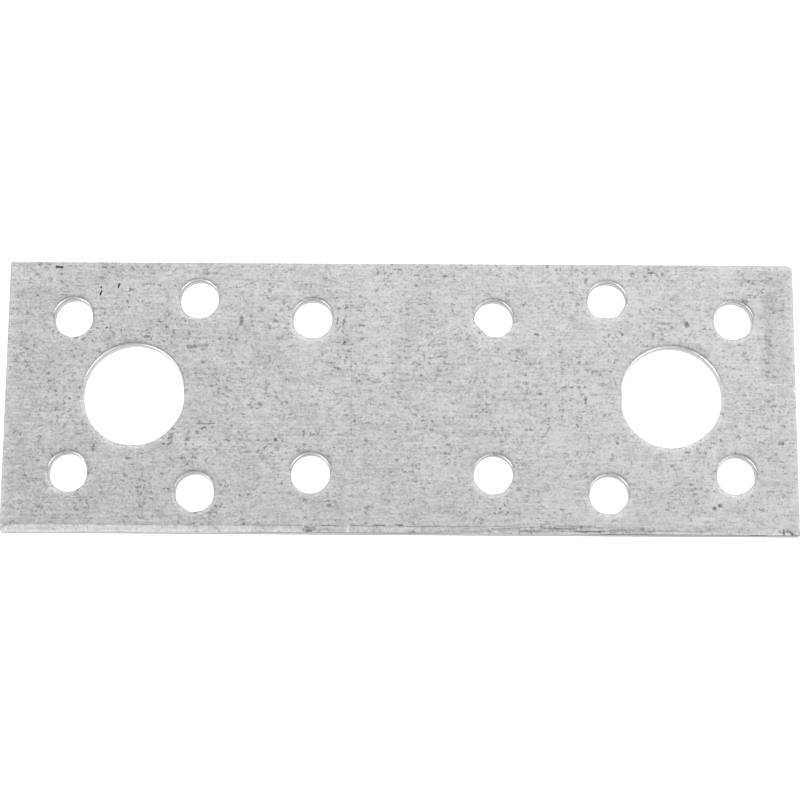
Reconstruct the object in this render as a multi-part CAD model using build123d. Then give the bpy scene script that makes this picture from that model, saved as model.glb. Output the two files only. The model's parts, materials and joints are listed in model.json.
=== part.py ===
from build123d import *
import math
import os

# Mending plate: one flat perforated plate, punched and cropped from galvanised steel strip.
# Millimetres, +Z up. X runs along the plate, Y across it, Z through its thickness.
# Origin: the middle of the hole pattern, on the underside, so the plate lies on Z = 0.
# The punches entered from the top face, so each hole has a dipped lip and a bright shoulder
# there, a burnished land below them, and a slightly wider fracture zone down to the underside.

# ---- driving dimensions (mm) ----
length = 100.0            # cropped length, X
width = 35.0              # strip width, Y
thickness = 2.0           # sheet thickness, Z
crop_shift = -0.3         # the cropped ends lie this far along X from the pattern's middle

screw_hole_d = 5.0        # 12 nail and screw holes
bolt_hole_d = 13.0        # 2 bolt holes
outer_x, outer_y = 42.0, 10.0       # half spacings of the four outer screw holes
middle_x, middle_y = 26.0, 12.5     # half spacings of the four middle screw holes
inner_x, inner_y = 11.5, 10.0       # half spacings of the four inner screw holes
bolt_x = 34.0                       # half spacing of the two bolt holes

lip_width = 0.50          # where the face starts to dip toward a hole, out from the wall
shoulder_width = 0.155    # where the dip turns into the bright shoulder
shoulder_dip = 0.10       # and how far down that is
shoulder_foot = 0.03      # where the shoulder turns down to the wall
shoulder_depth = 0.27     # and how far down that is
land_top = 0.40           # how far down the burnished land starts
land_bottom = 0.8         # height at which the burnished land ends
break_out = 0.03          # how much wider the hole is at the underside, on the radius
lip_entry = 2.0           # degrees: how steeply the dip leaves the flat face

edge_width = 0.88         # rolled-over top of the -Y long edge, in plan
edge_depth = 0.32         # and how deep it reaches
edge_taper = 1.7          # the roll-over fades out this close to the -X end
under_width = 0.6         # rolled-over underside of the +Y long edge, in plan
under_depth = 0.28        # and how deep it reaches
near_break = 0.02         # how far the fracture zone of the -Y edge stands back
far_break = 0.21          # and that of the +Y edge, which is its upper part
far_land = 0.95           # height at which the +Y edge's land ends
edge_entry = 17.0         # degrees: how steeply a long edge's roll-over leaves the face

end_width = 0.22          # eased top of each cropped end, in plan
end_depth = 0.10          # and how deep it reaches
corner_clip_x, corner_clip_y = 1.60, 0.51   # nipped corner at +X +Y
corner_ease = 0.30        # eased corner at -X +Y

# ---- derived ----
x_lo = crop_shift - length / 2
x_hi = crop_shift + length / 2
y_lo, y_hi = -width / 2, width / 2
top = thickness
over = 1.0                # how far each cutting shape stands outside the metal

screw_holes = [
    (sx * px, sy * py)
    for px, py in ((outer_x, outer_y), (middle_x, middle_y), (inner_x, inner_y))
    for sx in (-1, 1)
    for sy in (-1, 1)
]
bolt_holes = [(-bolt_x, 0.0), (bolt_x, 0.0)]


def roll(w, d, entry):
    """Middle of the arc of a rolled edge, as (in from its foot, down from the face). The arc
    leaves the flat face at w from its foot, entry degrees steep, and ends d down."""
    a = math.radians(entry)
    r = (w * w + d * d) / (2 * (d * math.cos(a) - w * math.sin(a)))
    turn = math.asin(math.hypot(w, d) / (2 * r))
    cx, cz = w + r * math.sin(a), r * math.cos(a)
    return cx - r * math.sin(a + turn), cz - r * math.cos(a + turn)


def across(x, corners):
    """A closed wire in the plane X = x through (y, z) corners. A corner with a third item
    starts an arc to the next corner, by way of that point."""
    edges = []
    n = len(corners)
    for i in range(n):
        a, b = corners[i], corners[(i + 1) % n]
        pa = Vector(x, a[0], a[1])
        pb = Vector(x, b[0], b[1])
        if len(a) == 3:
            way = Vector(x, a[2][0], a[2][1])
            edges.append(Edge.make_three_point_arc(pa, way, pb))
        else:
            edges.append(Edge.make_line(pa, pb))
    return Wire(edges)


def along_x(corners, x0, x1):
    face = Face(across(x0, corners))
    return Solid.extrude(face, Vector(x1 - x0, 0, 0))


# ---- the strip: its section across Y, cropped to length along X ----
under_way = roll(under_width, under_depth, edge_entry)
blank = along_x(
    [
        (y_lo + near_break, 0.0),
        (y_lo, land_bottom),
        (y_lo, top),
        (y_hi - far_break, top),
        (y_hi, far_land),
        (y_hi, under_depth, (y_hi - under_way[0], under_way[1])),
        (y_hi - under_width, 0.0),
    ],
    x_lo,
    x_hi,
)


# ---- the -Y long edge: metal rolled down by the slitting knife ----
def edge_section(scale):
    w, d = edge_width * scale, edge_depth * scale
    way = roll(w, d, edge_entry)
    return [
        (y_lo + w, top, (y_lo + way[0], top - way[1])),
        (y_lo, top - d),
        (y_lo - over, top - d),
        (y_lo - over, top + over),
        (y_lo + w, top + over),
    ]


roll_cuts = [along_x(edge_section(1.0), x_lo + edge_taper, x_hi + over)]
fade = ((0.0, 0.14), (0.35, 0.62), (0.70, 0.90), (1.0, 1.0))
for (u0, s0), (u1, s1) in zip(fade, fade[1:]):
    roll_cuts.append(
        Solid.make_loft(
            [
                across(x_lo + u0 * edge_taper, edge_section(s0)),
                across(x_lo + u1 * edge_taper, edge_section(s1)),
            ],
            True,
        )
    )


# ---- the cropped ends and the two +Y corners ----
def wedge(points, direction):
    wire = Wire.make_polygon([Vector(*p) for p in points], close=True)
    return Solid.extrude(Face(wire), Vector(*direction))


span_y = (0.0, width + 2 * over, 0.0)
end_cuts = [
    wedge(
        [
            (x_lo - over, y_lo - over, top - end_depth * (1 + over / end_width)),
            (x_lo + end_width + over, y_lo - over, top + end_depth * over / end_width),
            (x_lo - over, y_lo - over, top + end_depth * over / end_width),
        ],
        span_y,
    ),
    wedge(
        [
            (x_hi + over, y_lo - over, top - end_depth * (1 + over / end_width)),
            (x_hi - end_width - over, y_lo - over, top + end_depth * over / end_width),
            (x_hi + over, y_lo - over, top + end_depth * over / end_width),
        ],
        span_y,
    ),
    wedge(
        [
            (x_hi - corner_clip_x * (1 + over), y_hi + corner_clip_y * over, -over),
            (x_hi + corner_clip_x * over, y_hi - corner_clip_y * (1 + over), -over),
            (x_hi + corner_clip_x * over, y_hi + corner_clip_y * over, -over),
        ],
        (0.0, 0.0, top + 2 * over),
    ),
    wedge(
        [
            (x_lo + corner_ease * (1 + over), y_hi + corner_ease * over, -over),
            (x_lo - corner_ease * over, y_hi - corner_ease * (1 + over), -over),
            (x_lo - corner_ease * over, y_hi + corner_ease * over, -over),
        ],
        (0.0, 0.0, top + 2 * over),
    ),
]


# ---- a punched hole: dipped lip, shoulder, land and fracture zone, turned about its axis ----
def punch(x, y, diameter):
    r = diameter / 2
    p = [
        Vector(0, 0, -over),
        Vector(r + break_out, 0, -over),
        Vector(r + break_out, 0, 0),
        Vector(r, 0, land_bottom),
        Vector(r, 0, top - land_top),
        Vector(r + shoulder_foot, 0, top - shoulder_depth),
        Vector(r + shoulder_width, 0, top - shoulder_dip),
        Vector(r + lip_width, 0, top),
        Vector(r + lip_width, 0, top + over),
        Vector(0, 0, top + over),
    ]
    dip = roll(lip_width - shoulder_width, shoulder_dip, lip_entry)
    way = Vector(r + shoulder_width + dip[0], 0, top - dip[1])
    edges = [Edge.make_line(p[i], p[i + 1]) for i in range(6)]
    edges.append(Edge.make_three_point_arc(p[6], way, p[7]))
    edges += [Edge.make_line(p[7], p[8]), Edge.make_line(p[8], p[9]), Edge.make_line(p[9], p[0])]
    profile = Face(Wire(edges))
    return Pos(x, y, 0) * Solid.revolve(profile, 360, Axis.Z)


plate = blank
for cut in roll_cuts + end_cuts:
    plate = plate - cut
for x, y in screw_holes:
    plate = plate - punch(x, y, screw_hole_d)
for x, y in bolt_holes:
    plate = plate - punch(x, y, bolt_hole_d)

solids = plate.solids()
assert len(solids) == 1, len(solids)
plate = solids[0]

os.makedirs("parts", exist_ok=True)
export_step(plate, "parts/plate.step")

box = plate.bounding_box()
print("size", tuple(round(v, 3) for v in box.size), "volume", round(plate.volume, 1), "valid", plate.is_valid)
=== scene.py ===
import json
import math

import bpy
import numpy as np
from mathutils import Matrix, Vector
from mathutils.geometry import delaunay_2d_cdt


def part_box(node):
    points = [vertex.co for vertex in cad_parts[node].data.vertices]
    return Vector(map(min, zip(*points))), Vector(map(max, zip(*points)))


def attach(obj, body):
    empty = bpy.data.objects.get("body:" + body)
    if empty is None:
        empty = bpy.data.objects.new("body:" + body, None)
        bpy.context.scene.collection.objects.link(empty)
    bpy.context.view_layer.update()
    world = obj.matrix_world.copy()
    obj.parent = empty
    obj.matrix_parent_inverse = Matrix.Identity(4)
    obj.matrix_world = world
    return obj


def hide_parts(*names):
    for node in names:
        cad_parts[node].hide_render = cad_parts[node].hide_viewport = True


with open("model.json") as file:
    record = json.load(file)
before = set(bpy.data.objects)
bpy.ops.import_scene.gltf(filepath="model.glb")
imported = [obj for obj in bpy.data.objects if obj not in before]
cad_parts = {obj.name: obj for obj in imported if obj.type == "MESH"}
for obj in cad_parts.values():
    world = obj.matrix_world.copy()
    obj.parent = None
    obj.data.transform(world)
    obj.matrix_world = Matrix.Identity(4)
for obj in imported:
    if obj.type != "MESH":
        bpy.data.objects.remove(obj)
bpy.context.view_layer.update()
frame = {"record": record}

# A mending plate in galvanised steel. One fine mesh stands for the CAD node "plate": the same
# outline, holes and thickness, with the small irregularities that punching and slitting leave.
# Lengths below are in millimetres unless a name ends in _m; the mesh is scaled to metres at the end.

box_lo, box_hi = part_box("plate")
X0, Y0, X1, Y1 = box_lo.x * 1000, box_lo.y * 1000, box_hi.x * 1000, box_hi.y * 1000
TOP = box_hi.z * 1000
holes = []
for m in frame["record"]["mounts"]:
    if m["kind"] == "bore":
        x, y = m["pos_m"][0] * 1000, m["pos_m"][1] * 1000
        holes.append((round(x, 4), round(y, 4), m["dims"]["r_mm"]))
holes.sort(key=lambda h: (h[2], h[0], h[1]))

# ---- the same small features as the CAD part ----
LAND_Z = 0.80                    # height at which the burnished land ends
BREAK = 0.13                     # how much wider a hole is at the underside, most on its +Y side
EDGE_W, EDGE_D = 0.88, 0.32      # rolled-over top of the -Y long edge
EDGE_TAPER = 1.7                 # it fades out this close to the -X end
UNDER_W, UNDER_D = 0.60, 0.28    # rolled-over underside of the +Y long edge
EDGE_BACK = 0.18                 # how far the fracture zone of the +Y long edge stands back
NEAR_BACK = 0.02                 # and that of the -Y long edge
END_W, END_D = 0.22, 0.10        # eased top of the cropped ends
CLIP_X, CLIP_Y = 1.60, 0.51      # nipped corner at +X +Y
EASE = 0.30                      # eased corner at -X +Y
ENTRY = math.radians(17.0)        # how steeply the long edge's roll-over leaves the face


# ---- smooth seeded noise ----
def noise1(x, cell, seed, period=None):
    """Smooth one-dimensional noise from -1 to 1, with cells of that length."""
    t = np.asarray(x, float) / cell
    i = np.floor(t).astype(int)
    f = t - i
    f = f * f * f * (f * (f * 6 - 15) + 10)
    n = 4096
    r = np.random.default_rng(seed).uniform(-1, 1, n)
    if period:
        p = max(2, int(round(period / cell)))
        t = np.asarray(x, float) / period * p
        i = np.floor(t).astype(int)
        f = t - i
        f = f * f * f * (f * (f * 6 - 15) + 10)
        return r[i % p] * (1 - f) + r[(i + 1) % p] * f
    return r[(i + 2048) % n] * (1 - f) + r[(i + 2049) % n] * f


def noise2(x, y, cx, cy, seed):
    """Smooth two-dimensional noise from -1 to 1, with cells of cx by cy."""
    r = np.random.default_rng(seed).uniform(-1, 1, (256, 256))
    tx, ty = np.asarray(x, float) / cx, np.asarray(y, float) / cy
    ix, iy = np.floor(tx).astype(int), np.floor(ty).astype(int)
    fx, fy = tx - ix, ty - iy
    fx, fy = fx * fx * (3 - 2 * fx), fy * fy * (3 - 2 * fy)
    a = r[ix % 256, iy % 256] * (1 - fx) + r[(ix + 1) % 256, iy % 256] * fx
    b = r[ix % 256, (iy + 1) % 256] * (1 - fx) + r[(ix + 1) % 256, (iy + 1) % 256] * fx
    return a * (1 - fy) + b * fy


def smooth(a, b, x):
    t = np.clip((np.asarray(x, float) - a) / (b - a), 0, 1)
    return t * t * (3 - 2 * t)


def roll_inset(w, d, t):
    """How far in from the wall a roll-over of width w and depth d is, t below the face."""
    r = (w * w + d * d) / (2 * (d * math.cos(ENTRY) - w * math.sin(ENTRY)))
    cx, cz = w + r * math.sin(ENTRY), r * math.cos(ENTRY)
    # the arc's points are centre + r * (-sin, -cos) of its own angle: depth = cz - r cos(a)
    t = np.clip(t, 0, d)
    ca = np.clip((cz - t) / r, -1, 1)
    return np.maximum(cx - r * np.sqrt(1 - ca * ca), 0)


# ================= the mesh =================
verts, uv_of, faces, face_uv, face_kind = [], [], [], [], []
attr = {"zone_edge": [], "zone_lip": [], "zone_wall": [], "zone_frac": [], "zone_burn": [], "zone_shine": [], "tone": [],
        "under": [], "across": []}
UVS = 1 / 102.0                  # one millimetre in the texture: every island has the same scale


def add_verts(x, y, z, **a):
    base = len(verts)
    x, y, z = np.broadcast_arrays(np.asarray(x, float), np.asarray(y, float), np.asarray(z, float))
    for p in zip(x.ravel(), y.ravel(), z.ravel()):
        verts.append(p)
    n = x.size
    for k in attr:
        v = a.get(k, 0.0)
        attr[k].extend(np.broadcast_to(np.asarray(v, float), x.shape).ravel().tolist())
    return base, n


def top_uv(i):
    return ((verts[i][0] - X0 + 1.0) * UVS, (verts[i][1] - Y0 + 1.0) * UVS)


def under_uv(i):
    return ((verts[i][0] - X0 + 1.0) * UVS, (verts[i][1] - Y0 + 1.0 + 37.2) * UVS)


# ---- outline: one sample list for every row, sides joined at the corners ----
def side_samples(length, step):
    n = max(2, int(round(length / step)))
    return np.arange(n) / n


NS, FS, ES = 440, 220, 110       # samples along the near edge, the far edge and each end
side = np.concatenate([np.full(NS, 0), np.full(ES, 1), np.full(FS, 2), np.full(ES, 3)])
par = np.concatenate([np.arange(NS) / NS, np.arange(ES) / ES, np.arange(FS) / FS, np.arange(ES) / ES])
NP = len(side)

# depths below the face of the wall rows
depths = np.array([0.0, 0.0, 0.0, 0.004, 0.012, 0.026, 0.045, 0.07, 0.10, 0.14, 0.185, 0.235, 0.285, 0.32,
                   0.38, 0.60, 0.90, 1.12, 1.20, 1.32, 1.45, 1.60, 1.72, 1.80, 1.86, 1.91, 1.95, 1.98, 2.0])
ROWS = len(depths)

LX, LY = X1 - X0, Y1 - Y0


def near_taper(x):
    u = np.clip((x - X0) / EDGE_TAPER, 0, 1)
    return np.interp(u, [0, 0.35, 0.70, 1.0], [0.14, 0.62, 0.90, 1.0])


def inset_near(x, t):
    s = near_taper(x)
    w = EDGE_W * s * (1 + 0.030 * noise1(x, 7.0, 11) + 0.022 * noise1(x, 1.3, 12) + 0.012 * noise1(x, 0.45, 13))
    d = EDGE_D * s * (1 + 0.10 * noise1(x, 9.0, 14) + 0.05 * noise1(x, 2.2, 15))
    out = np.array([roll_inset(wi, min(di, 0.42 * wi), t) for wi, di in zip(np.atleast_1d(w), np.atleast_1d(d))])
    # the sheared wall: smooth to the land's end, then the broken zone
    z = TOP - t
    line = LAND_Z + 0.10 * noise1(x, 3.1, 21) + 0.05 * noise1(x, 0.7, 22)
    back = NEAR_BACK * smooth(0, 1, (line - z) / LAND_Z)
    back = back + (z < line) * (0.012 * np.abs(noise2(x, z * np.ones_like(x), 0.42, 0.16, 23)))
    return np.where(t < d, out, 0) + back, w


def inset_far(x, t):
    z = TOP - t
    line = 0.95 + 0.10 * noise1(x, 3.3, 31) + 0.05 * noise1(x, 0.8, 32)
    back = EDGE_BACK * smooth(0, 1, (z - line) / 0.8)
    back = back + (z > line) * 0.012 * np.abs(noise2(x, z * np.ones_like(x), 0.45, 0.16, 33))
    tb = np.maximum(UNDER_D - z, 0)          # underneath, measured up from the face
    r = roll_inset(UNDER_W, UNDER_D, np.clip(z, 0, UNDER_D)) if z < UNDER_D else 0.0
    ease = 0.035 * smooth(0.07, 0.0, t)
    return np.maximum(back, 0) * (z >= UNDER_D) + r + ease


def inset_end(y, t, seed):
    e = END_W * np.clip(1 - t / END_D, 0, 1) ** 1.15
    e = e * (1 + 0.18 * noise1(y, 2.6, seed) + 0.10 * noise1(y, 0.6, seed + 1))
    z = TOP - t
    line = LAND_Z + 0.14 * noise1(y, 2.9, seed + 2) + 0.05 * noise1(y, 0.7, seed + 3)
    back = 0.05 * smooth(0, 1, (line - z) / LAND_Z) + (z < line) * 0.012 * np.abs(noise2(y, z * np.ones_like(y), 0.4, 0.16, seed + 4))
    return np.maximum(e, 0) + back


def outline_row(t, extra=0.0):
    """Plan points of the outline at depth t, with every corner shared by its two sides."""
    xs = X0 + LX * np.linspace(0, 1, 801)
    ys = Y0 + LY * np.linspace(0, 1, 301)
    if extra:
        near = EDGE_W * near_taper(xs) * (1 + 0.030 * noise1(xs, 7.0, 11) + 0.022 * noise1(xs, 1.3, 12) + 0.012 * noise1(xs, 0.45, 13)) + extra
        far = inset_far(xs, 0.0) + extra
        left = inset_end(ys, 0.0, 41) + extra
        right = inset_end(ys, 0.0, 51) + extra
    else:
        near = inset_near(xs, t)[0]
        far = inset_far(xs, t)
        left = inset_end(ys, t, 41)
        right = inset_end(ys, t, 51)
    fn = lambda x: np.interp(x, xs, near)
    ff = lambda x: np.interp(x, xs, far)
    fl = lambda y: np.interp(y, ys, left)
    fr = lambda y: np.interp(y, ys, right)

    def corner(fx, fy, x_side, y_side):
        x, y = x_side, y_side
        for _ in range(6):
            x = x_side + (fx(y) if x_side == X0 else -fx(y))
            y = y_side + (fy(x) if y_side == Y0 else -fy(x))
        return float(x), float(y)

    a = corner(fl, fn, X0, Y0)
    b = corner(fr, fn, X1, Y0)
    c = corner(fr, ff, X1, Y1)
    d = corner(fl, ff, X0, Y1)
    px, py = np.zeros(NP), np.zeros(NP)
    u = par[side == 0]
    x = a[0] + (b[0] - a[0]) * u
    y = Y0 + fn(x)
    y[0] = a[1]
    px[side == 0], py[side == 0] = x, y
    u = par[side == 1]
    y = b[1] + (c[1] - b[1]) * u
    x = X1 - fr(y)
    x[0] = b[0]
    px[side == 1], py[side == 1] = x, y
    u = par[side == 2]
    x = c[0] + (d[0] - c[0]) * u
    y = Y1 - ff(x)
    y[0] = c[1]
    px[side == 2], py[side == 2] = x, y
    u = par[side == 3]
    y = d[1] + (a[1] - d[1]) * u
    x = X0 + fl(y)
    x[0] = d[0]
    px[side == 3], py[side == 3] = x, y
    # the two +Y corners: move what stands outside the nipped line back to it
    ax, ay = X1 - CLIP_X, Y1
    nx, ny = CLIP_Y, CLIP_X
    ln = math.hypot(nx, ny)
    over = ((px - ax) * nx + (py - ay) * ny) / ln
    soft = np.where(over > 0, over, 0) + (extra if extra else 0) * 0
    px, py = px - soft * nx / ln, py - soft * ny / ln
    ax, ay = X0 + EASE, Y1
    over = ((ax - px) + (py - ay)) / math.sqrt(2)
    soft = np.where(over > 0, over, 0)
    px, py = px + soft / math.sqrt(2), py - soft / math.sqrt(2)
    return px, py


# strokes along the -Y edge's roll-over: (x, s, x, s, half width, strength), s in mm from its
# upper line down, 0.88 where the wall begins. Most are streaks on the metal; those near s = 0 are painted shade,
# a dark line along the crease where the roll-over leaves the face, and the last one is painted shade down the wall.
EDGE_STREAKS_AND_SHADE = [
    (-49, 0.74, -31, 0.74, 0.12, 0.1), (-31, 0.7, -25, 0.6, 0.14, 0.04),
    (-49.2, 0.3, -38, 0.28, 0.12, 0.05), (-47, 0.46, -43.5, 0.44, 0.035, -0.12),
    (-38.7, 0.62, -38.1, 0.7, 0.06, -0.22),
    (-37, 0.14, -30.5, 0.16, 0.03, -0.08), (-35.5, 0.5, -31, 0.54, 0.03, -0.1),
    (-30, 0.84, -20, 0.83, 0.05, -0.12), 
    (-28.5, 0.3, -27, 0.55, 0.07, -0.14), (-38, -0.01, -31, 0, 0.035, -0.3), (-20.8, -0.01, -12.6, -0.02, 0.035, -0.34),
    (-19, 0.8, -12.8, 0.82, 0.06, -0.14), 
    (-10.5, 0.55, -7.3, 0.6, 0.2, -0.12),
    (-10.4, 0, -8.2, -0.01, 0.04, -0.28), 
    (-6, 0.74, 10, 0.78, 0.12, -0.16), (-6.2, -0.02, -2, -0.01, 0.035, -0.36),
    (-1.9, 0.02, 2.2, 0, 0.03, -0.3), 
    (2.5, -0.01, 9.8, 0, 0.03, -0.3), (-5.5, 0.24, 7.5, 0.26, 0.12, 0.04),
    (4.8, 0.6, 12.5, 0.56, 0.08, -0.24), (10.2, 0, 17, 0.02, 0.038, -0.406), (17.2, 0, 25, 0.01, 0.038, -0.319),
    (10, 0.5, 15.5, 0.42, 0.053, -0.203), (15.5, 0.44, 22, 0.52, 0.068, -0.377),
    (22, 0.52, 30, 0.47, 0.078, -0.435), (12, 0.66, 20, 0.7, 0.045, 0.1),
    (20.5, 0.78, 24.5, 0.76, 0.05, 0.1), (25, 0.82, 31, 0.82, 0.068, -0.319), (-12.6, 0.38, -6.8, 0.42, 0.36, -0.14), (17, 0.18, 24, 0.2, 0.043, -0.145),
    (24.5, 0.12, 31, 0.13, 0.053, -0.203), 
    
    (30.5, 0.45, 38, 0.42, 0.088, -0.406),
    (31, 0.72, 49, 0.7, 0.055, 0.08), (38, 0.44, 49, 0.46, 0.078, -0.116),
    (30, 0.95, 49.5, 0.95, 0.098, -0.261), (43.5, 0.9, 45.1, 0.91, 0.078, -0.493),
    
    
    
    (10, 0.93, 30, 0.94, 0.068, -0.174), (-10, 0.95, 10, 0.94, 0.06, -0.06),
    (24, 1.35, 49.5, 1.45, 0.5, -0.45),
]


def edge_highlight_and_streaks(x, s):
    """How much lighter or darker the rolled edge is at x, s: a painted highlight along the roll-over, with the streaks
    and painted shade of the table above.
    """
    xx = x + 0.25 * noise1(s * 3 + x, 0.8, 71)
    ss = s + 0.035 * noise1(x, 1.1, 72) + 0.018 * noise1(x, 0.36, 73)
    out = 0.05 * noise2(x, s, 1.6, 0.09, 74) + 0.05 * noise2(x, s, 0.5, 0.12, 75)
    # painted highlight: the roll-over is made lighter than the face, most of all toward -X
    out = out + (0.16 + 0.26 * smooth(2.0, -30.0, x)) * smooth(0.0, 0.03, s)
    for xa, sa, xb, sb, w, v in EDGE_STREAKS_AND_SHADE:
        dx, ds = xb - xa, sb - sa
        u = np.clip(((xx - xa) * dx + (ss - sa) * ds) / (dx * dx + ds * ds), 0, 1)
        d = np.hypot((xx - xa - u * dx) * 0.45, ss - sa - u * ds)
        out = out + v * smooth(w * 1.5, w * 0.4, d)
    return out


ring = []
for j, t in enumerate(depths):
    px, py = outline_row(t, (0.17, 0.05)[j] if j < 2 else 0.0)
    z = np.full(NP, TOP - t)
    x = px
    on_near = side == 0
    zone_edge = np.where(on_near, 1.0, 0.0) * (1.0 if 2 <= j <= 13 else 0.0)
    across = np.where(on_near, (py - Y0), 0.0)
    lands = (TOP - t)
    wall = 1.0 if t >= 0.32 else 0.0
    wall_end = 1.0 if t >= END_D else 0.0
    zone_wall = np.where(side == 0, wall, np.where(side == 2, 1.0 if 0.05 < t < 2 - UNDER_D else 0.0, wall_end))
    frac = np.where(side == 2, smooth(0.92, 1.08, TOP - t), smooth(0.9, 0.7, TOP - t))
    zone_frac = zone_wall * frac
    if 3 <= j <= 12:
        # long fine ridges where the slitting knife dragged the metal
        z = z + on_near * 0.0035 * noise2(px, np.full(NP, j * 1.0), 2.2, 1.0, 61) * near_taper(px)
    # place down the profile of the near edge
    wide = EDGE_W * near_taper(px)
    s_here = np.where(t < EDGE_D, wide - (py - Y0), EDGE_W + (t - EDGE_D))
    # painted highlight and painted shade along the near edge's roll-over and wall, with its streaks
    tone = np.where(on_near, edge_highlight_and_streaks(px, s_here), 0.0) * smooth(-0.16, -0.05, s_here) * smooth(1.75, 1.2, s_here)
    # the other three sides are worn a little lighter along the corner of the face
    worn = {0: (0.03, 0.08, 0.12), 1: (0.05, 0.10, 0.12)}[int(j >= 3)]
    worn = worn[min(j, 2)] if t < END_D + 0.03 else 0.0
    tone = tone + np.where(side == 3, worn * 1.7, np.where(on_near, 0.0, worn))
    base, _ = add_verts(px, py, z, zone_edge=zone_edge, zone_wall=zone_wall, zone_frac=zone_frac, across=across, tone=tone,
                        under=1.0 if j >= ROWS - 1 else 0.0)
    ring.append(base)

arc = [0.0, LX + 0.0, LX + LY, 2 * LX + LY]
wall_v = {0: 74.2, 2: 77.2, 1: 80.2, 3: 80.2}
wall_u = {0: 1.0, 2: 1.0, 1: 1.0, 3: 38.0}


def wall_uv(i, s, u, t):
    """Texture place of a wall vertex: side s, u along the side from 0 to 1, depth t."""
    span = LX if s in (0, 2) else LY
    return ((wall_u[s] + u * span) * UVS, (wall_v[s] + t) * UVS)


for j in range(ROWS - 1):
    for i in range(NP):
        i2 = (i + 1) % NP
        q = [ring[j] + i, ring[j] + i2, ring[j + 1] + i2, ring[j + 1] + i]
        s = side[i]
        n_here = {0: NS, 1: ES, 2: FS, 3: ES}[s]
        u0 = par[i]
        u1 = u0 + 1 / n_here
        t0, t1 = depths[j], depths[j + 1]
        if s == 0:
            kind = "top" if j < 13 else "wall"
        elif s == 2:
            kind = "top" if t1 <= 0.07 else ("under" if t0 >= 1.72 else "wall")
        else:
            kind = "top" if t1 <= END_D else "wall"
        q = q[::-1]
        faces.append(q)
        if kind == "top":
            face_uv.append([top_uv(v) for v in q])
        elif kind == "under":
            face_uv.append([under_uv(v) for v in q])
        else:
            face_uv.append([wall_uv(0, s, u0, t1), wall_uv(0, s, u1, t1), wall_uv(0, s, u1, t0), wall_uv(0, s, u0, t0)])
        face_kind.append(kind)


# ---- holes: draw-down, lip, land and broken zone ----
# flats: (direction in degrees, how near to the axis, in mm) where a rim isn't round
FLATS = {
    (11.5, 10.0): [(224, 2.20), (262, 2.33)],
    (26.0, 12.5): [(282, 2.26), (338, 2.38)],
    (42.0, -10.0): [(318, 2.34)],
    (42.0, 10.0): [(290, 2.42)],
}


TIGHT = -0.05                    # zinc and a turned burr keep the holes this much under size, on the radius
# (direction in degrees, spread, change in mm) where a hole's wall was pushed in or out
DENTS = {
    (-42.0, 10.0): [(0, 25, -0.05), (100, 20, 0.06)],
    (-11.5, 10.0): [(0, 400, 0.04)],
    (11.5, 10.0): [(200, 18, -0.24), (238, 22, -0.20), (292, 30, -0.13)],
    (26.0, 12.5): [(260, 18, -0.24), (322, 20, -0.18)],
    (-42.0, -10.0): [(0, 30, -0.09), (235, 30, -0.08)],
    (-26.0, -12.5): [(0, 25, -0.08), (232, 18, -0.17), (290, 30, -0.08)],
    (11.5, -10.0): [(232, 20, -0.08), (322, 16, -0.08)],
    (26.0, -12.5): [(270, 22, -0.14), (318, 20, -0.15)],
    (42.0, -10.0): [(285, 26, -0.18), (248, 14, -0.06)],
    (-34.0, 0.0): [(5, 20, -0.16), (318, 20, -0.10), (268, 12, -0.06)],
    (34.0, 0.0): [(180, 12, -0.26), (308, 28, -0.18)],
}

# one hole's profile from the face down: (distance outside the wall, depth below the face)
DRAW = [(1.10, 0.000), (0.92, 0.0005), (0.78, 0.002), (0.66, 0.004), (0.57, 0.007), (0.50, 0.010), (0.44, 0.015),
        (0.38, 0.022), (0.32, 0.031), (0.27, 0.042), (0.23, 0.054), (0.20, 0.066), (0.175, 0.081), (0.155, 0.100)]
SHOULDER = [(0.13, 0.127), (0.10, 0.160), (0.07, 0.196), (0.045, 0.232), (0.028, 0.275), (0.014, 0.350), (0.004, 0.500), (0.0, 0.650)]
WALL_Z = [1.15, 1.02, 0.84, 0.78, 0.62, 0.44, 0.27, 0.13, 0.04, 0.0]
hole_rows = [(o, TOP - t) for o, t in DRAW + SHOULDER] + [(None, z) for z in WALL_Z]
TOP_ROWS = len(DRAW)
# painted highlight on the shoulder rows of each hole
highlight_of = np.interp([t for o, t in DRAW + SHOULDER], [0.085, 0.12, 0.20, 0.26], [0, 1, 1, 0])
# painted shade: a dark band where the shoulder turns down into the wall
wall_shade_of = np.interp([t for o, t in DRAW + SHOULDER], [0.20, 0.27, 0.48, 0.65], [0, 1, 1, 0])


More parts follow.
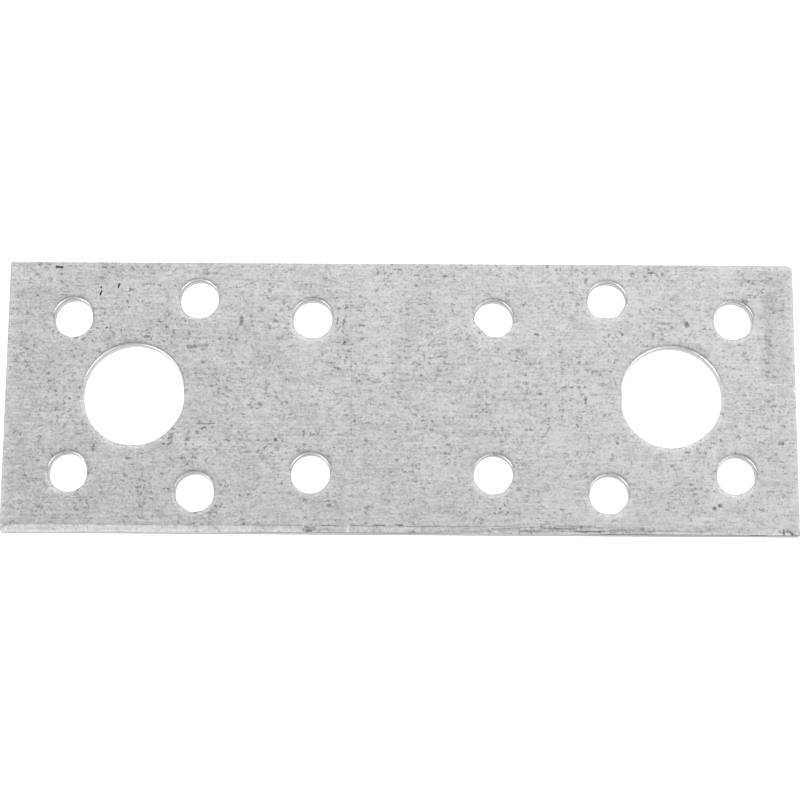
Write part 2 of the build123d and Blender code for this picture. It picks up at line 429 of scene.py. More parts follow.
# how bright the painted highlight on the shoulder of each hole is, and how dark the painted shade on the lip outside
# it, hole by hole:
# (direction in degrees, spread, change)
RIM_HIGHLIGHTS = {
    (-42.0, 10.0): [(60, 22, 0.35), (95, 14, -0.30), (135, 18, 0.25)],
    (-26.0, 12.5): [(55, 18, 0.20), (128, 14, 0.35)],
    (-11.5, 10.0): [(100, 26, -0.40), (135, 12, 0.20)],
    (11.5, 10.0): [(75, 18, -0.30)],
    (26.0, 12.5): [(50, 12, -0.12), (112, 16, 0.45)],
    (42.0, 10.0): [(65, 30, -0.25), (112, 16, 0.45)],
    (-42.0, -10.0): [(50, 24, 0.30), (105, 20, -0.30)],
    (-26.0, -12.5): [(48, 22, 0.35), (130, 12, -0.35)],
    (-11.5, -10.0): [(40, 18, 0.20), (85, 12, -0.30), (122, 14, 0.25)],
    (11.5, -10.0): [(32, 16, 0.30), (82, 26, -0.35)],
    (26.0, -12.5): [(34, 10, 0.10), (52, 12, -0.22), (68, 14, -0.30), (135, 30, 0.20)],
    (42.0, -10.0): [(60, 26, -0.20), (120, 30, 0.20)],
    (-34.0, 0.0): [(60, 16, 0.40), (95, 12, -0.35), (135, 14, 0.10)],
    (34.0, 0.0): [(36, 8, 0.32), (54, 10, -0.25), (74, 14, -0.45), (110, 16, 0.30)],
}
# painted shade, with a little painted light, on the lip just outside each rim: (direction in degrees, spread, change)
LIP_SHADE_AND_LIGHT = {
    (-42.0, 10.0): [(105, 30, -0.05)],
    (-11.5, 10.0): [(95, 26, -0.06)],
    (42.0, 10.0): [(42, 26, -0.06), (100, 26, 0.06)],
    (11.5, 10.0): [(40, 26, -0.06), (110, 26, 0.06)],
    (-26.0, -12.5): [(118, 18, -0.05)],
    (-11.5, -10.0): [(102, 16, -0.08)],
    (11.5, -10.0): [(72, 26, -0.12)],
    (26.0, -12.5): [(58, 26, -0.12)],
    (42.0, -10.0): [(40, 30, -0.12), (110, 24, 0.05)],
    (34.0, 0.0): [(62, 16, -0.12)],
}


def bumps(th, items):
    """Sum of smooth bumps around a hole."""
    out = np.zeros_like(th)
    for a, spread, v in items:
        d = np.degrees(np.abs((th - math.radians(a) + math.pi) % (2 * math.pi) - math.pi))
        out = out + v * np.exp(-(d / spread) ** 2)
    return out


# painted highlight round a rim, brightest on its +Y side
def rim_highlight(th, hx, hy):
    s = 0.62 * smooth(0.05, 0.68, np.sin(th)) + bumps(th, RIM_HIGHLIGHTS.get((hx, hy), []))
    return np.clip(s, 0, 1)


def rim_lip_shading(th, o, hx, hy):
    near = float(smooth(0.62, 0.30, o) * smooth(0.08, 0.18, o))
    return near * bumps(th, LIP_SHADE_AND_LIGHT.get((hx, hy), []))


hole_top_rings, hole_under_rings = [], []
wall_row_v = [83.2, 86.0]
small_count = 0
big_count = 0
for hi, (hx, hy, r) in enumerate(holes):
    small = r < 4
    n = 112 if small else 224
    th = np.arange(n) / n * 2 * math.pi
    cx_, sy_ = np.cos(th), np.sin(th)
    sd = 100 + 17 * hi
    arc_len = th * r
    per = 2 * math.pi * r
    # the rim: slightly out of round, and flatter where the punch tore
    wob = 0.022 * noise1(arc_len, per / 3, sd, per) + 0.012 * noise1(arc_len, per / 9, sd + 1, per)
    lim = np.full(n, r) + wob * (1 if small else 1.2)
    for ang, dist in FLATS.get((hx, hy), []):
        c = np.cos(th - math.radians(ang))
        chord = np.where(c > 0.3, dist / np.maximum(c, 0.3), 99)
        lim = -np.log(np.exp(-lim * 14) + np.exp(-chord * 14)) / 14
    shrink = lim - r + TIGHT + bumps(th, DENTS.get((hx, hy), []))     # how far the wall stands from the true circle
    lip_w = 1 + 0.10 * noise1(arc_len, per / 4, sd + 2, per) + 0.05 * noise1(arc_len, per / 14, sd + 3, per)
    land = LAND_Z + 0.16 * noise1(arc_len, per / 5, sd + 4, per) + 0.06 * noise1(arc_len, per / 17, sd + 5, per)
    rings = []
    for k, (o, z) in enumerate(hole_rows):
        zz = np.full(n, z)
        if o is None:
            down = smooth(0, 1, (land - z) / LAND_Z)
            off = BREAK * (0.30 + 0.70 * smooth(-0.1, 0.85, np.sin(th))) * np.clip((land - z) / LAND_Z, 0, 1)
            rough = (z < land) * 0.018 * noise2(arc_len, np.full(n, z), 0.34, 0.13, sd + 6)
            off = off + rough * (0.3 if z == 0 else 1)
            rr = r + off + TIGHT + (shrink - TIGHT) * smooth(-0.6, 1.0, np.full(n, z))
            lipz, wallz, fracz = 0.0, 1.0, smooth(0.02, -0.08, z - land)
        else:
            near_wall = 1 - smooth(0.0, 0.9, np.full(n, o))
            oo = o * (lip_w if o < 0.9 else 1)
            # the shoulder is widest where the punch leaned, on the +Y side
            lean = smooth(-0.25, 0.35, np.sin(th))
            oo = oo * (1 - 0.45 * (1 - lean) * smooth(0.0, 0.05, oo) * smooth(0.30, 0.16, oo))
            rr = r + oo + shrink * near_wall
            if 0 < k < TOP_ROWS:
                zz = zz + 0.0022 * noise2(arc_len, np.full(n, k * 0.7), 0.8, 1.0, sd + 7) * (z < TOP - 0.004)
            lipz = float(smooth(0.62, 0.46, o)) * (1.0 if k < TOP_ROWS else 0.0)
            wallz = float(smooth(0.25, 0.36, TOP - z))
            fracz = 0.0
        base, _ = add_verts(hx + rr * cx_, hy + rr * sy_, np.minimum(zz, TOP), zone_lip=lipz, zone_wall=wallz, zone_frac=fracz,
                            zone_burn=(wall_shade_of[k] if o is not None else 0.0),
                            zone_shine=(highlight_of[k] * rim_highlight(th, hx, hy) if o is not None else 0.0),
                            tone=(rim_lip_shading(th, o, hx, hy) if o is not None else 0.0),
                            across=(o if o is not None else 0.0), under=1.0 if z == 0 else 0.0)
        rings.append(base)
    hole_top_rings.append((rings[0], n))
    hole_under_rings.append((rings[-1], n))
    nrow = len(rings)
    rows = hole_rows
    if small:
        uu, vv = 1.0 + 16.6 * (small_count % 6), wall_row_v[small_count // 6]
        small_count += 1
    else:
        uu, vv = 1.0 + 42.0 * big_count, 88.8
        big_count += 1
    for j in range(nrow - 1):
        for i in range(n):
            i2 = (i + 1) % n
            q = [rings[j] + i, rings[j] + i2, rings[j + 1] + i2, rings[j + 1] + i]
            faces.append(q)
            if j < TOP_ROWS - 1:
                face_uv.append([top_uv(v) for v in q])
                face_kind.append("top")
            else:
                ua, ub = uu + per * i / n, uu + per * (i + 1) / n
                za, zb = TOP - rows[j][1], TOP - rows[j + 1][1]
                face_uv.append([(ua * UVS, (vv + za) * UVS), (ub * UVS, (vv + za) * UVS), (ub * UVS, (vv + zb) * UVS), (ua * UVS, (vv + zb) * UVS)])
                face_kind.append("wall")


# ---- the two flat faces ----
def fill(outer_base, outer_n, rings, z, under):
    pts, ids = [], []
    edges = []

    def loop(base, n):
        s = len(pts)
        for i in range(n):
            pts.append((verts[base + i][0], verts[base + i][1]))
            ids.append(base + i)
        edges.extend((s + i, s + (i + 1) % n) for i in range(n))

    loop(outer_base, outer_n)
    for b, n in rings:
        loop(b, n)
    outer = np.array(pts[:outer_n])
    gx = np.arange(X0 + 0.9, X1 - 0.6, 0.8)
    gy = np.arange(Y0 + 1.35, Y1 - 0.5, 0.8)
    G = np.array([(x + (0.4 if k % 2 else 0.0), y) for k, y in enumerate(gy) for x in gx])
    keep = (G[:, 0] > X0 + 0.75) & (G[:, 0] < X1 - 0.75) & (G[:, 1] < Y1 - 0.55) & (G[:, 1] > Y0 + 1.3)
    for (hx, hy, r), (b, n) in zip(holes, rings):
        first = np.array(verts[b: b + n])[:, :2]
        far = np.hypot(first[:, 0] - hx, first[:, 1] - hy).max()
        keep &= np.hypot(G[:, 0] - hx, G[:, 1] - hy) > far + 0.30
    G = G[keep]
    base, n = add_verts(G[:, 0], G[:, 1], np.full(len(G), z), under=1.0 if under else 0.0)
    for i in range(n):
        pts.append((G[i, 0], G[i, 1]))
        ids.append(base + i)
    out = delaunay_2d_cdt([Vector(p) for p in pts], edges, [], 1, 1e-7)
    nv, tris, orig = out[0], out[2], out[3]
    assert len(nv) == len(pts), (len(nv), len(pts))
    back = [o[0] for o in orig]
    P = np.array([(v[0], v[1]) for v in nv])
    kept = 0
    for t in tris:
        if len(t) != 3:
            raise RuntimeError("not a triangle")
        c = P[list(t)].mean(0)
        inside = True
        for (hx, hy, r), (b, n) in zip(holes, rings):
            if (c[0] - hx) ** 2 + (c[1] - hy) ** 2 < (r + 1.3) ** 2:
                first = np.array(verts[b: b + n])[:, :2]
                a = math.atan2(c[1] - hy, c[0] - hx) % (2 * math.pi)
                k = a / (2 * math.pi) * n
                i0 = int(k) % n
                i1 = (i0 + 1) % n
                e0, e1 = first[i0], first[i1]
                side_of = (e1[0] - e0[0]) * (c[1] - e0[1]) - (e1[1] - e0[1]) * (c[0] - e0[0])
                if side_of > 0:
                    inside = False
                    break
        if not inside:
            continue
        q = [ids[back[k]] for k in t]
        a, b_, c_ = (verts[k] for k in q)
        turn = (b_[0] - a[0]) * (c_[1] - a[1]) - (b_[1] - a[1]) * (c_[0] - a[0])
        if (turn < 0) != under:
            q = q[::-1]
        faces.append(q)
        face_uv.append([under_uv(v) if under else top_uv(v) for v in q])
        face_kind.append("under" if under else "top")
        kept += 1
    return kept


n_top = fill(ring[0], NP, hole_top_rings, TOP, False)
n_under = fill(ring[-1], NP, hole_under_rings, 0.0, True)

V = np.array(verts)
V[:, 0] = np.clip(V[:, 0], X0, X1)
V[:, 1] = np.clip(V[:, 1], Y0, Y1)
V[:, 2] = np.clip(V[:, 2], 0.0, TOP)
mesh = bpy.data.meshes.new("mending_plate")
mesh.from_pydata((V * 0.001).tolist(), [], faces)
mesh.update()
uvl = mesh.uv_layers.new(name="OFBake")
flat = np.array([c for f in face_uv for c in f], np.float32)
uvl.data.foreach_set("uv", flat.ravel())
for k, v in attr.items():
    a = mesh.attributes.new(k, "FLOAT", "POINT")
    a.data.foreach_set("value", np.array(v, np.float32))
mesh.polygons.foreach_set("use_smooth", np.ones(len(mesh.polygons), bool))
mesh.set_sharp_from_angle(angle=math.radians(32))
mesh.validate()
plate = bpy.data.objects.new("mending_plate", mesh)
bpy.context.scene.collection.objects.link(plate)
print("plate mesh", len(V), "vertices", sum(len(f) - 2 for f in faces), "triangles", n_top, n_under)


# ================= the material =================
class Net:
    """Short names for the nodes of one material."""

    def __init__(self, tree):
        self.t = tree
        self.t.nodes.clear()

    def new(self, kind, **props):
        n = self.t.nodes.new(kind)
        for k, v in props.items():
            setattr(n, k, v)
        return n

    def put(self, socket, value):
        if hasattr(value, "is_output"):
            self.t.links.new(value, socket)
        else:
            socket.default_value = value

    def math(self, op, a, b=None, c=None, clamp=False):
        n = self.new("ShaderNodeMath", operation=op, use_clamp=clamp)
        for i, v in enumerate((a, b, c)):
            if v is not None:
                self.put(n.inputs[i], v)
        return n.outputs[0]

    def add(self, a, b):
        return self.math("ADD", a, b)

    def sub(self, a, b):
        return self.math("SUBTRACT", a, b)

    def mul(self, a, b):
        return self.math("MULTIPLY", a, b)

    def total(self, *items):
        out = items[0]
        for i in items[1:]:
            out = self.add(out, i)
        return out

    def vec(self, op, a, b=None):
        n = self.new("ShaderNodeVectorMath", operation=op)
        for i, v in enumerate((a, b)):
            if v is not None:
                self.put(n.inputs[i], v)
        return n.outputs[0]

    def xyz(self, x, y, z=0.0):
        n = self.new("ShaderNodeCombineXYZ")
        for i, v in enumerate((x, y, z)):
            self.put(n.inputs[i], v)
        return n.outputs[0]

    def split(self, v):
        n = self.new("ShaderNodeSeparateXYZ")
        self.put(n.inputs[0], v)
        return n.outputs

    def noise(self, vec, scale, detail=2.0, rough=0.5, distort=0.0):
        n = self.new("ShaderNodeTexNoise", noise_dimensions="2D")
        self.put(n.inputs["Vector"], vec)
        n.inputs["Scale"].default_value = scale
        n.inputs["Detail"].default_value = detail
        n.inputs["Roughness"].default_value = rough
        n.inputs["Distortion"].default_value = distort
        return n.outputs[0]

    def cells(self, vec, scale, randomness=1.0):
        n = self.new("ShaderNodeTexVoronoi", voronoi_dimensions="2D", feature="F1")
        self.put(n.inputs["Vector"], vec)
        n.inputs["Scale"].default_value = scale
        n.inputs["Randomness"].default_value = randomness
        return n.outputs["Distance"], n.outputs["Color"]

    def ramp(self, value, a, b, to_a=0.0, to_b=1.0, kind="SMOOTHSTEP"):
        n = self.new("ShaderNodeMapRange", interpolation_type=kind)
        self.put(n.inputs[0], value)
        for i, v in zip((1, 2, 3, 4), (a, b, to_a, to_b)):
            self.put(n.inputs[i], v)
        return n.outputs[0]

    def attribute(self, name):
        return self.new("ShaderNodeAttribute", attribute_name=name, attribute_type="GEOMETRY").outputs["Fac"]

    def mix(self, fac, a, b, mode="MIX"):
        n = self.new("ShaderNodeMix", data_type="RGBA", blend_type=mode)
        self.put(n.inputs[0], fac)
        self.put(n.inputs[6], a)
        self.put(n.inputs[7], b)
        return n.outputs[2]


mat = bpy.data.materials.new("galvanised_steel")
mat.use_nodes = True
N = Net(mat.node_tree)
coord = N.new("ShaderNodeTexCoord").outputs["Object"]
ox, oy, oz = N.split(coord)
mx, my, mz = N.mul(ox, 1000.0), N.mul(oy, 1000.0), N.mul(oz, 1000.0)
a_under = N.attribute("under")
a_edge = N.attribute("zone_edge")
a_lip = N.attribute("zone_lip")
a_wall = N.attribute("zone_wall")
a_frac = N.attribute("zone_frac")
a_across = N.attribute("across")
a_wall_shade = N.attribute("zone_burn")
a_painted_highlight = N.attribute("zone_shine")
a_tone = N.attribute("tone")
# millimetre coordinates that also run down the walls; the underside has its own pattern
shift = N.mul(a_under, 61.7)
px = N.total(mx, N.mul(mz, 0.7), shift)
py = N.total(my, N.mul(mz, -0.7), N.mul(a_under, 23.9))
P2 = N.xyz(px, py)

# slow changes of tone
tone_a = N.noise(P2, 0.045, 2.0, 0.5)
tone_b = N.noise(N.xyz(N.mul(px, 0.7), py), 0.22, 2.0, 0.55)
# mottling of the zinc, 0.3 to 1.5 mm
mottle = N.noise(P2, 0.85, 3.0, 0.62)
# rolling grain along X
grain_a = N.noise(N.xyz(N.mul(px, 0.22), N.mul(py, 2.4)), 1.0, 3.0, 0.62)
grain_b = N.noise(N.xyz(N.mul(px, 1.1), N.mul(py, 4.2)), 1.0, 2.0, 0.6)
fine = N.noise(P2, 3.0, 3.0, 0.72)


def specks(scale, warp, warp_scale, lo, hi, share, stretch, seed, soft=0.6):
    """Warped cells, each with a speck of its own size and strength."""
    w = N.noise(N.xyz(N.add(px, seed), N.add(py, -seed)), warp_scale, 2.0, 0.6)
    w2 = N.noise(N.xyz(N.add(px, -seed * 2.3), N.add(py, seed * 1.7)), warp_scale, 2.0, 0.6)
    vx = N.add(N.mul(N.add(px, seed * 3.1), stretch), N.mul(N.sub(w, 0.5), warp))
    vy = N.add(N.add(py, seed * 1.9), N.mul(N.sub(w2, 0.5), warp))
    dist, col = N.cells(N.xyz(vx, vy), scale)
    r, g, b = N.split(col)
    size = N.ramp(r, 0.0, 1.0, lo, hi, "LINEAR")
    on = N.ramp(g, 1 - share - 0.02, 1 - share + 0.02)
    body = N.ramp(N.math("DIVIDE", dist, size), 1.0, 1.0 - soft)
    power = N.ramp(b, 0.0, 1.0, 0.22, 0.80, "LINEAR")
    return N.mul(N.mul(body, on), power)


cluster = N.ramp(N.noise(N.xyz(N.add(px, 13.0), N.add(py, 5.0)), 0.21, 3.0, 0.62), 0.34, 0.66)
sp_fine = specks(2.6, 0.50, 2.9, 0.20, 0.42, 0.60, 0.85, 7.0)
sp_mid = specks(1.30, 0.80, 1.9, 0.14, 0.34, 0.62, 0.78, 19.0)
sp_big = specks(0.55, 1.30, 1.5, 0.08, 0.20, 0.50, 0.80, 31.0, 0.8)
# light specks: bare bright points
sp_light = specks(2.1, 0.5, 2.4, 0.12, 0.30, 0.45, 0.75, 43.0)

dark = N.total(
    N.mul(sp_fine, N.ramp(cluster, 0.0, 1.0, 0.24, 0.50, "LINEAR")),
    N.mul(sp_mid, N.ramp(cluster, 0.0, 1.0, 0.26, 0.70, "LINEAR")),
    N.mul(sp_big, N.ramp(cluster, 0.0, 1.0, 0.18, 0.52, "LINEAR")),
)


def centred(v, amount):
    return N.mul(N.sub(v, 0.5), amount)


dark = N.math("MINIMUM", dark, 0.37)
level = N.total(
    0.965,
    centred(tone_a, 0.10),
    centred(tone_b, 0.22),
    centred(mottle, 0.38),
    centred(grain_a, 0.44),
    centred(grain_b, 0.39),
    centred(fine, 0.74),
    N.mul(sp_light, 0.13),
    N.mul(dark, -1.0),
    # painted light: the face grows lighter toward +X
    N.mul(mx, 0.0012),
    N.ramp(mx, -48.4, -50.2, 0.0, 0.06),
)

# ---- marks placed one by one, the stains, nicks and scuffs that stand out on this plate, and two soft patches of
# painted shade outside the tops of the big holes: (x, y, half length, angle, half width, strength, softness)
# in mm and degrees; below 0 is lighter ----
# (x, lean, strength, from y, to y): faint lines across the strip
CROSS_LINES = [(-6.44, 0.0194, 0.12, -15.0, 16.0), (-4.62, -0.01, 0.08, -8.0, 7.0), (8.85, 0.0, 0.11, 10.5, 16.5),
               (-8.55, 0.0, 0.09, 11.5, 16.0), (-5.2, 0.0, 0.10, -15.0, -11.5)]
MARKS = [
    (-44.03, 16.63, 0.38, -5, 0.13, 0.72, 0.09), (-38.58, 13.99, 0.06, 70, 0.11, 0.54, 0.07),
    (-38.57, 13.33, 0.22, 75, 0.12, 0.64, 0.09), (-38.66, 12.98, 0.12, 70, 0.10, 0.50, 0.09),
    (-36.32, 14.22, 0.20, 80, 0.13, 0.62, 0.09), (-38.26, 16.59, 0.23, 10, 0.09, 0.30, 0.09),
    (-31.01, 9.64, 0.31, -60, 0.09, 0.26, 0.10), (-20.56, 9.70, 0.35, 88, 0.25, 0.32, 0.11),
    (-37.73, 8.69, 0.10, 0, 0.12, 0.32, 0.10), (-26.84, 6.27, 0.38, 0, 0.28, 0.26, 0.19),
    (-25.57, 6.34, 0.62, 0, 0.25, 0.20, 0.19), (-24.81, -3.69, 1.12, 2, 0.09, 0.24, 0.11),
    (-29.17, -5.65, 0.50, 80, 0.29, 0.20, 0.19), (-15.94, -5.70, 0.15, 30, 0.20, 0.34, 0.11),
    (-21.91, 7.60, 0.31, 45, 0.10, 0.18, 0.10), (-24.69, -8.43, 0.12, -30, 0.12, 0.28, 0.10),
    (-34.38, -8.24, 0.31, 0, 0.16, 0.25, 0.11), (-42.78, 0.72, 0.38, -50, 0.11, 0.16, 0.11),
    (-19.80, -7.38, 0.62, 10, 0.20, 0.15, 0.16), (-12.42, -4.91, 0.31, 90, 0.15, 0.28, 0.11),
    (-11.54, -5.03, 0.25, 85, 0.11, 0.24, 0.11), (-10.54, -4.64, 0.31, 60, 0.12, 0.24, 0.11),
    (-8.33, 9.77, 0.38, 80, 0.15, 0.26, 0.11), (-7.56, 9.51, 0.50, 80, 0.12, 0.24, 0.11),
    (-8.19, 8.72, 0.38, 60, 0.12, 0.26, 0.11), (-7.67, 8.33, 0.25, -60, 0.10, 0.22, 0.10),
    (-7.15, 7.03, 0.31, 45, 0.20, 0.20, 0.14), (-7.37, 4.42, 0.25, -80, 0.12, 0.24, 0.11),
    (-8.37, 3.51, 0.19, -30, 0.15, 0.18, 0.12), (-10.18, 5.32, 0.15, 45, 0.14, 0.28, 0.11),
    (-5.27, 9.13, 0.20, 0, 0.15, 0.26, 0.11), (-5.20, 2.75, 0.28, 0, 0.14, 0.22, 0.11),
    (0.60, 6.42, 0.33, 0, 0.11, 0.28, 0.10), (2.00, 6.17, 0.28, 75, 0.10, 0.22, 0.10),
    (4.54, 6.70, 0.75, 0, 0.11, 0.14, 0.11), (8.22, 7.51, 0.17, 50, 0.15, 0.24, 0.11),
    (8.48, 5.03, 0.10, 0, 0.12, 0.28, 0.10), (-0.84, -4.58, 0.15, -30, 0.15, 0.24, 0.11),
    (-4.48, -5.76, 0.25, -40, 0.15, 0.22, 0.12), (-3.72, -6.14, 0.38, 0, 0.10, 0.14, 0.11),
    (5.59, -5.31, 0.15, 90, 0.11, 0.26, 0.10), (12.90, 0.39, 0.25, 60, 0.15, 0.20, 0.12),
    (16.98, 8.08, 0.17, -20, 0.17, 0.38, 0.11), (8.61, -1.31, 0.50, 0, 0.20, 0.14, 0.15),
    (31.72, 16.24, 0.38, 0, 0.11, 0.30, 0.11), (33.12, 16.05, 0.15, -30, 0.12, 0.36, 0.10),
    (36.05, 9.49, 0.20, -80, 0.28, 0.36, 0.12), (27.78, 8.27, 0.28, -60, 0.15, 0.30, 0.11),
    (23.28, 15.07, 0.25, 80, 0.15, 0.26, 0.11), (44.91, 13.21, 0.20, 30, 0.16, 0.26, 0.11),
    (46.88, 15.59, 0.17, 0, 0.15, 0.26, 0.11), (23.12, -0.58, 0.20, 80, 0.15, 0.28, 0.11),
    (24.30, 3.30, 0.28, 0, 0.17, 0.22, 0.12), (22.08, -3.68, 0.20, -60, 0.15, 0.30, 0.11),
    (18.30, -4.34, 0.50, 60, 0.12, 0.18, 0.11), (27.09, -5.95, 0.12, 0, 0.15, 0.34, 0.11),
    (40.23, -2.03, 0.25, -20, 0.15, 0.28, 0.11), (47.68, -5.83, 0.17, 0, 0.23, 0.24, 0.12),
    (45.72, -3.92, 0.75, -8, 0.10, 0.18, 0.11), (47.34, -4.55, 0.50, -5, 0.10, 0.16, 0.11),
    (47.24, -8.13, 0.75, -5, 0.10, 0.16, 0.11), (39.09, -14.14, 0.12, 20, 0.22, 0.42, 0.11),
    # the soft marks at (38.01, 6.11) and (-34.36, 7.01) are painted shade outside the tops of the two big holes
    (39.84, -13.76, 0.12, 45, 0.22, 0.40, 0.11), (45.60, 15.60, 2.80, 0, 0.90, 0.07, 0.80), (38.01, 6.11, 0.62, -35, 0.38, 0.14, 0.50),
    (-34.36, 7.01, 1.75, 0, 0.20, 0.09, 0.33), (44.91, 8.36, 0.88, 0, 0.10, -0.10, 0.12),
    (45.87, 6.41, 1.75, -87, 0.09, -0.10, 0.12), (46.43, 5.90, 1.75, -88, 0.10, 0.09, 0.12),
    (47.51, 1.75, 1.00, 0, 0.10, -0.11, 0.11), (49.51, 0.86, 0.10, 0, 0.12, -0.25, 0.10),
    (17.78, -6.78, 0.62, 60, 0.10, -0.10, 0.10),
]
# broad, faint patches of the face, a little darker or lighter than the rest
PATCHES = [
    (46.3, 8.0, 5.16, 90, 0.77, 0.060, 1.30), (46.3, 13.0, 0.77, 0, 1.03, 0.030, 1.20),
    (47.3, 8.8, 5.60, 90, 1.60, 0.062, 1.70), (48.8, 4.2, 1.80, 90, 0.50, 0.050, 1.00),
    (23.0, 8.9, 0.77, 0, 1.03, 0.060, 1.20), (-46.7, 15.1, 1.81, 0, 1.03, -0.060, 1.20),
    (-49.8, 3.8, 0.77, 90, 0.52, -0.060, 1.00), (-42.7, -1.4, 1.29, 90, 1.03, -0.060, 1.20),
    (41.6, 12.1, 0.77, 0, 0.77, -0.070, 1.00), (39.2, -10.9, 3.87, 90, 0.90, -0.050, 1.20),
    (-15.0, -7.1, 1.81, 0, 0.90, -0.050, 1.20), (-13.3, 10.3, 2.58, 90, 1.03, -0.040, 1.20),
    (4.8, -5.7, 2.06, 0, 1.03, -0.050, 1.20), (39.3, -15.8, 2.58, 0, 0.65, -0.060, 0.80),
]
EDGE_MARKS = [
    (-0.31, -16.46, 0.36, 0, 0.135, 0.27, 0.12), (-2.87, -16.50, 0.75, 0, 0.085, 0.20, 0.10),
    (-23.11, -17.03, 0.50, -40, 0.085, 0.34, 0.07), (-11.61, -17.08, 0.62, 10, 0.275, 0.26, 0.19),
    (-11.86, -16.77, 0.19, 0, 0.125, 0.31, 0.09), (-11.48, -17.27, 0.25, 0, 0.125, 0.31, 0.09),
    (-6.67, -17.05, 0.38, 80, 0.165, -0.29, 0.10), (11.68, -17.19, 0.25, 0, 0.115, -0.36, 0.07),
    (17.73, -17.09, 0.38, 10, 0.115, -0.33, 0.07), (25.39, -17.23, 0.44, 0, 0.115, -0.29, 0.07),
    (30.01, -16.82, 0.15, 90, 0.175, 0.33, 0.10), (12.99, -16.84, 1.75, -1, 0.085, 0.29, 0.09),
    (16.11, -17.16, 1.50, 2, 0.085, 0.23, 0.07), (19.85, -16.82, 2.00, 1, 0.115, 0.34, 0.09),
    (23.59, -17.12, 1.75, -1, 0.095, 0.31, 0.09), (27.58, -16.90, 1.50, -2, 0.115, 0.29, 0.09),
    (21.72, -16.47, 2.50, 0, 0.075, 0.23, 0.07), (46.38, -17.30, 0.25, 58, 0.115, -0.22, 0.09),
    (46.77, -16.90, 0.24, 35, 0.095, -0.14, 0.09), (47.42, -16.82, 0.19, 75, 0.115, -0.14, 0.09),
    (47.18, -17.03, 0.20, -55, 0.085, 0.26, 0.06), (47.66, -17.04, 0.30, -82, 0.135, 0.36, 0.09),
    (48.14, -16.96, 0.15, 70, 0.135, 0.34, 0.09), (48.58, -17.14, 0.20, -50, 0.145, 0.42, 0.09),
    (48.92, -17.34, 0.20, -12, 0.115, 0.34, 0.09), (48.15, -17.08, 0.80, 0, 0.235, 0.10, 0.30), (44.14, -17.48, 0.88, 0, 0.085, -0.29, 0.07),
]

wobx = N.noise(N.xyz(N.add(mx, 3.3), N.add(my, 8.1)), 2.2, 2.0, 0.6)
woby = N.noise(N.xyz(N.add(mx, 17.3), N.add(my, 2.1)), 2.2, 2.0, 0.6)
wavy = N.xyz(N.add(mx, centred(wobx, 0.15)), N.add(my, centred(woby, 0.15)))
swapped = N.xyz(N.add(my, centred(woby, 0.15)), N.add(mx, centred(wobx, 0.15)))


def turned(angle):
    """The wavering millimetre coordinates, turned so that strokes at this angle run along X."""
    ca, sa = math.cos(math.radians(angle)), math.sin(math.radians(angle))
    n = N.new("ShaderNodeVectorMath", operation="MULTIPLY_ADD")
    N.put(n.inputs[0], swapped)
    n.inputs[1].default_value = (sa, -sa, 0.0)
    N.put(n.inputs[2], N.vec("MULTIPLY", wavy, (ca, ca, 0.0)))
    return n.outputs[0]


def stroke(plane, angle, x, y, half, width, softness):
    """1 on a short stroke or dot, 0 away from it."""
    ca, sa = math.cos(math.radians(angle)), math.sin(math.radians(angle))
    at = (x * ca + y * sa, y * ca - x * sa, 0.0)
    if half < 0.16:
        n = N.new("ShaderNodeVectorMath", operation="DISTANCE")
        N.put(n.inputs[0], plane)
        n.inputs[1].default_value = at
        width = width + 0.45 * half
    else:
        v = N.vec("ABSOLUTE", N.vec("SUBTRACT", plane, at))
        v = N.vec("MAXIMUM", N.vec("SUBTRACT", v, (half, 0.0, 0.0)), (0.0, 0.0, 0.0))
        n = N.new("ShaderNodeVectorMath", operation="LENGTH")
        N.put(n.inputs[0], v)
    return N.ramp(n.outputs["Value"], width + softness * 0.4, max(width - softness * 0.6, 0.0))


marks = 0.0
by_angle = {}
for x, y, half, angle, width, strength, softness in MARKS + PATCHES + EDGE_MARKS:
    by_angle.setdefault(round(angle / 5) * 5, []).append((x, y, half, width, strength, softness))
for angle, group in sorted(by_angle.items()):
    plane = turned(angle)
    for x, y, half, width, strength, softness in group:
        marks = N.math("MULTIPLY_ADD", stroke(plane, angle, x, y, half, width, softness), 1.3 * strength, marks)
# three faint lines across the strip, and only on the upper side
for x, lean_, strength, lo, hi in CROSS_LINES:
    line = N.ramp(N.math("ABSOLUTE", N.total(N.mul(centred(wobx, 0.20), 1.0), N.mul(my, lean_), N.sub(mx, x))), 0.10, 0.02)
    span = N.mul(N.ramp(my, lo - 1.0, lo + 1.0), N.ramp(my, hi + 1.0, hi - 1.0))
    marks = N.math("MULTIPLY_ADD", N.mul(line, span), strength, marks)
marks = N.mul(marks, N.ramp(mz, 1.25, 1.5))
# the tone attribute carries the painted highlight and shade of the near edge and the hole lips, along with the lighter
# worn corners
level = N.add(N.math("SMOOTH_MIN", level, 1.14, 0.16), a_tone)
level = N.math("MAXIMUM", N.sub(level, marks), 0.10)

# ---- base colour ----
tint = N.noise(N.xyz(N.add(mx, 40.0), my), 0.05, 4.0, 0.65)
warm = N.mix(N.ramp(tint, 0.35, 0.65), (0.580, 0.592, 0.588, 1), (0.591, 0.591, 0.578, 1))
lv = N.xyz(level, level, level)
base = N.mix(1.0, warm, lv, "MULTIPLY")
cut = N.mix(a_frac, (0.49, 0.495, 0.495, 1), (0.44, 0.445, 0.445, 1))
# painted shade: the wall of the -Y long edge is made much darker than the other walls
near_wall = N.ramp(my, -17.0, -17.2)
cut = N.mix(near_wall, cut, (0.30, 0.303, 0.303, 1))
cut = N.mix(1.0, cut, N.xyz(*(3 * [N.add(N.ramp(fine, 0.2, 0.8, 0.8, 1.15, "LINEAR"), N.mul(a_tone, 0.9))])), "MULTIPLY")
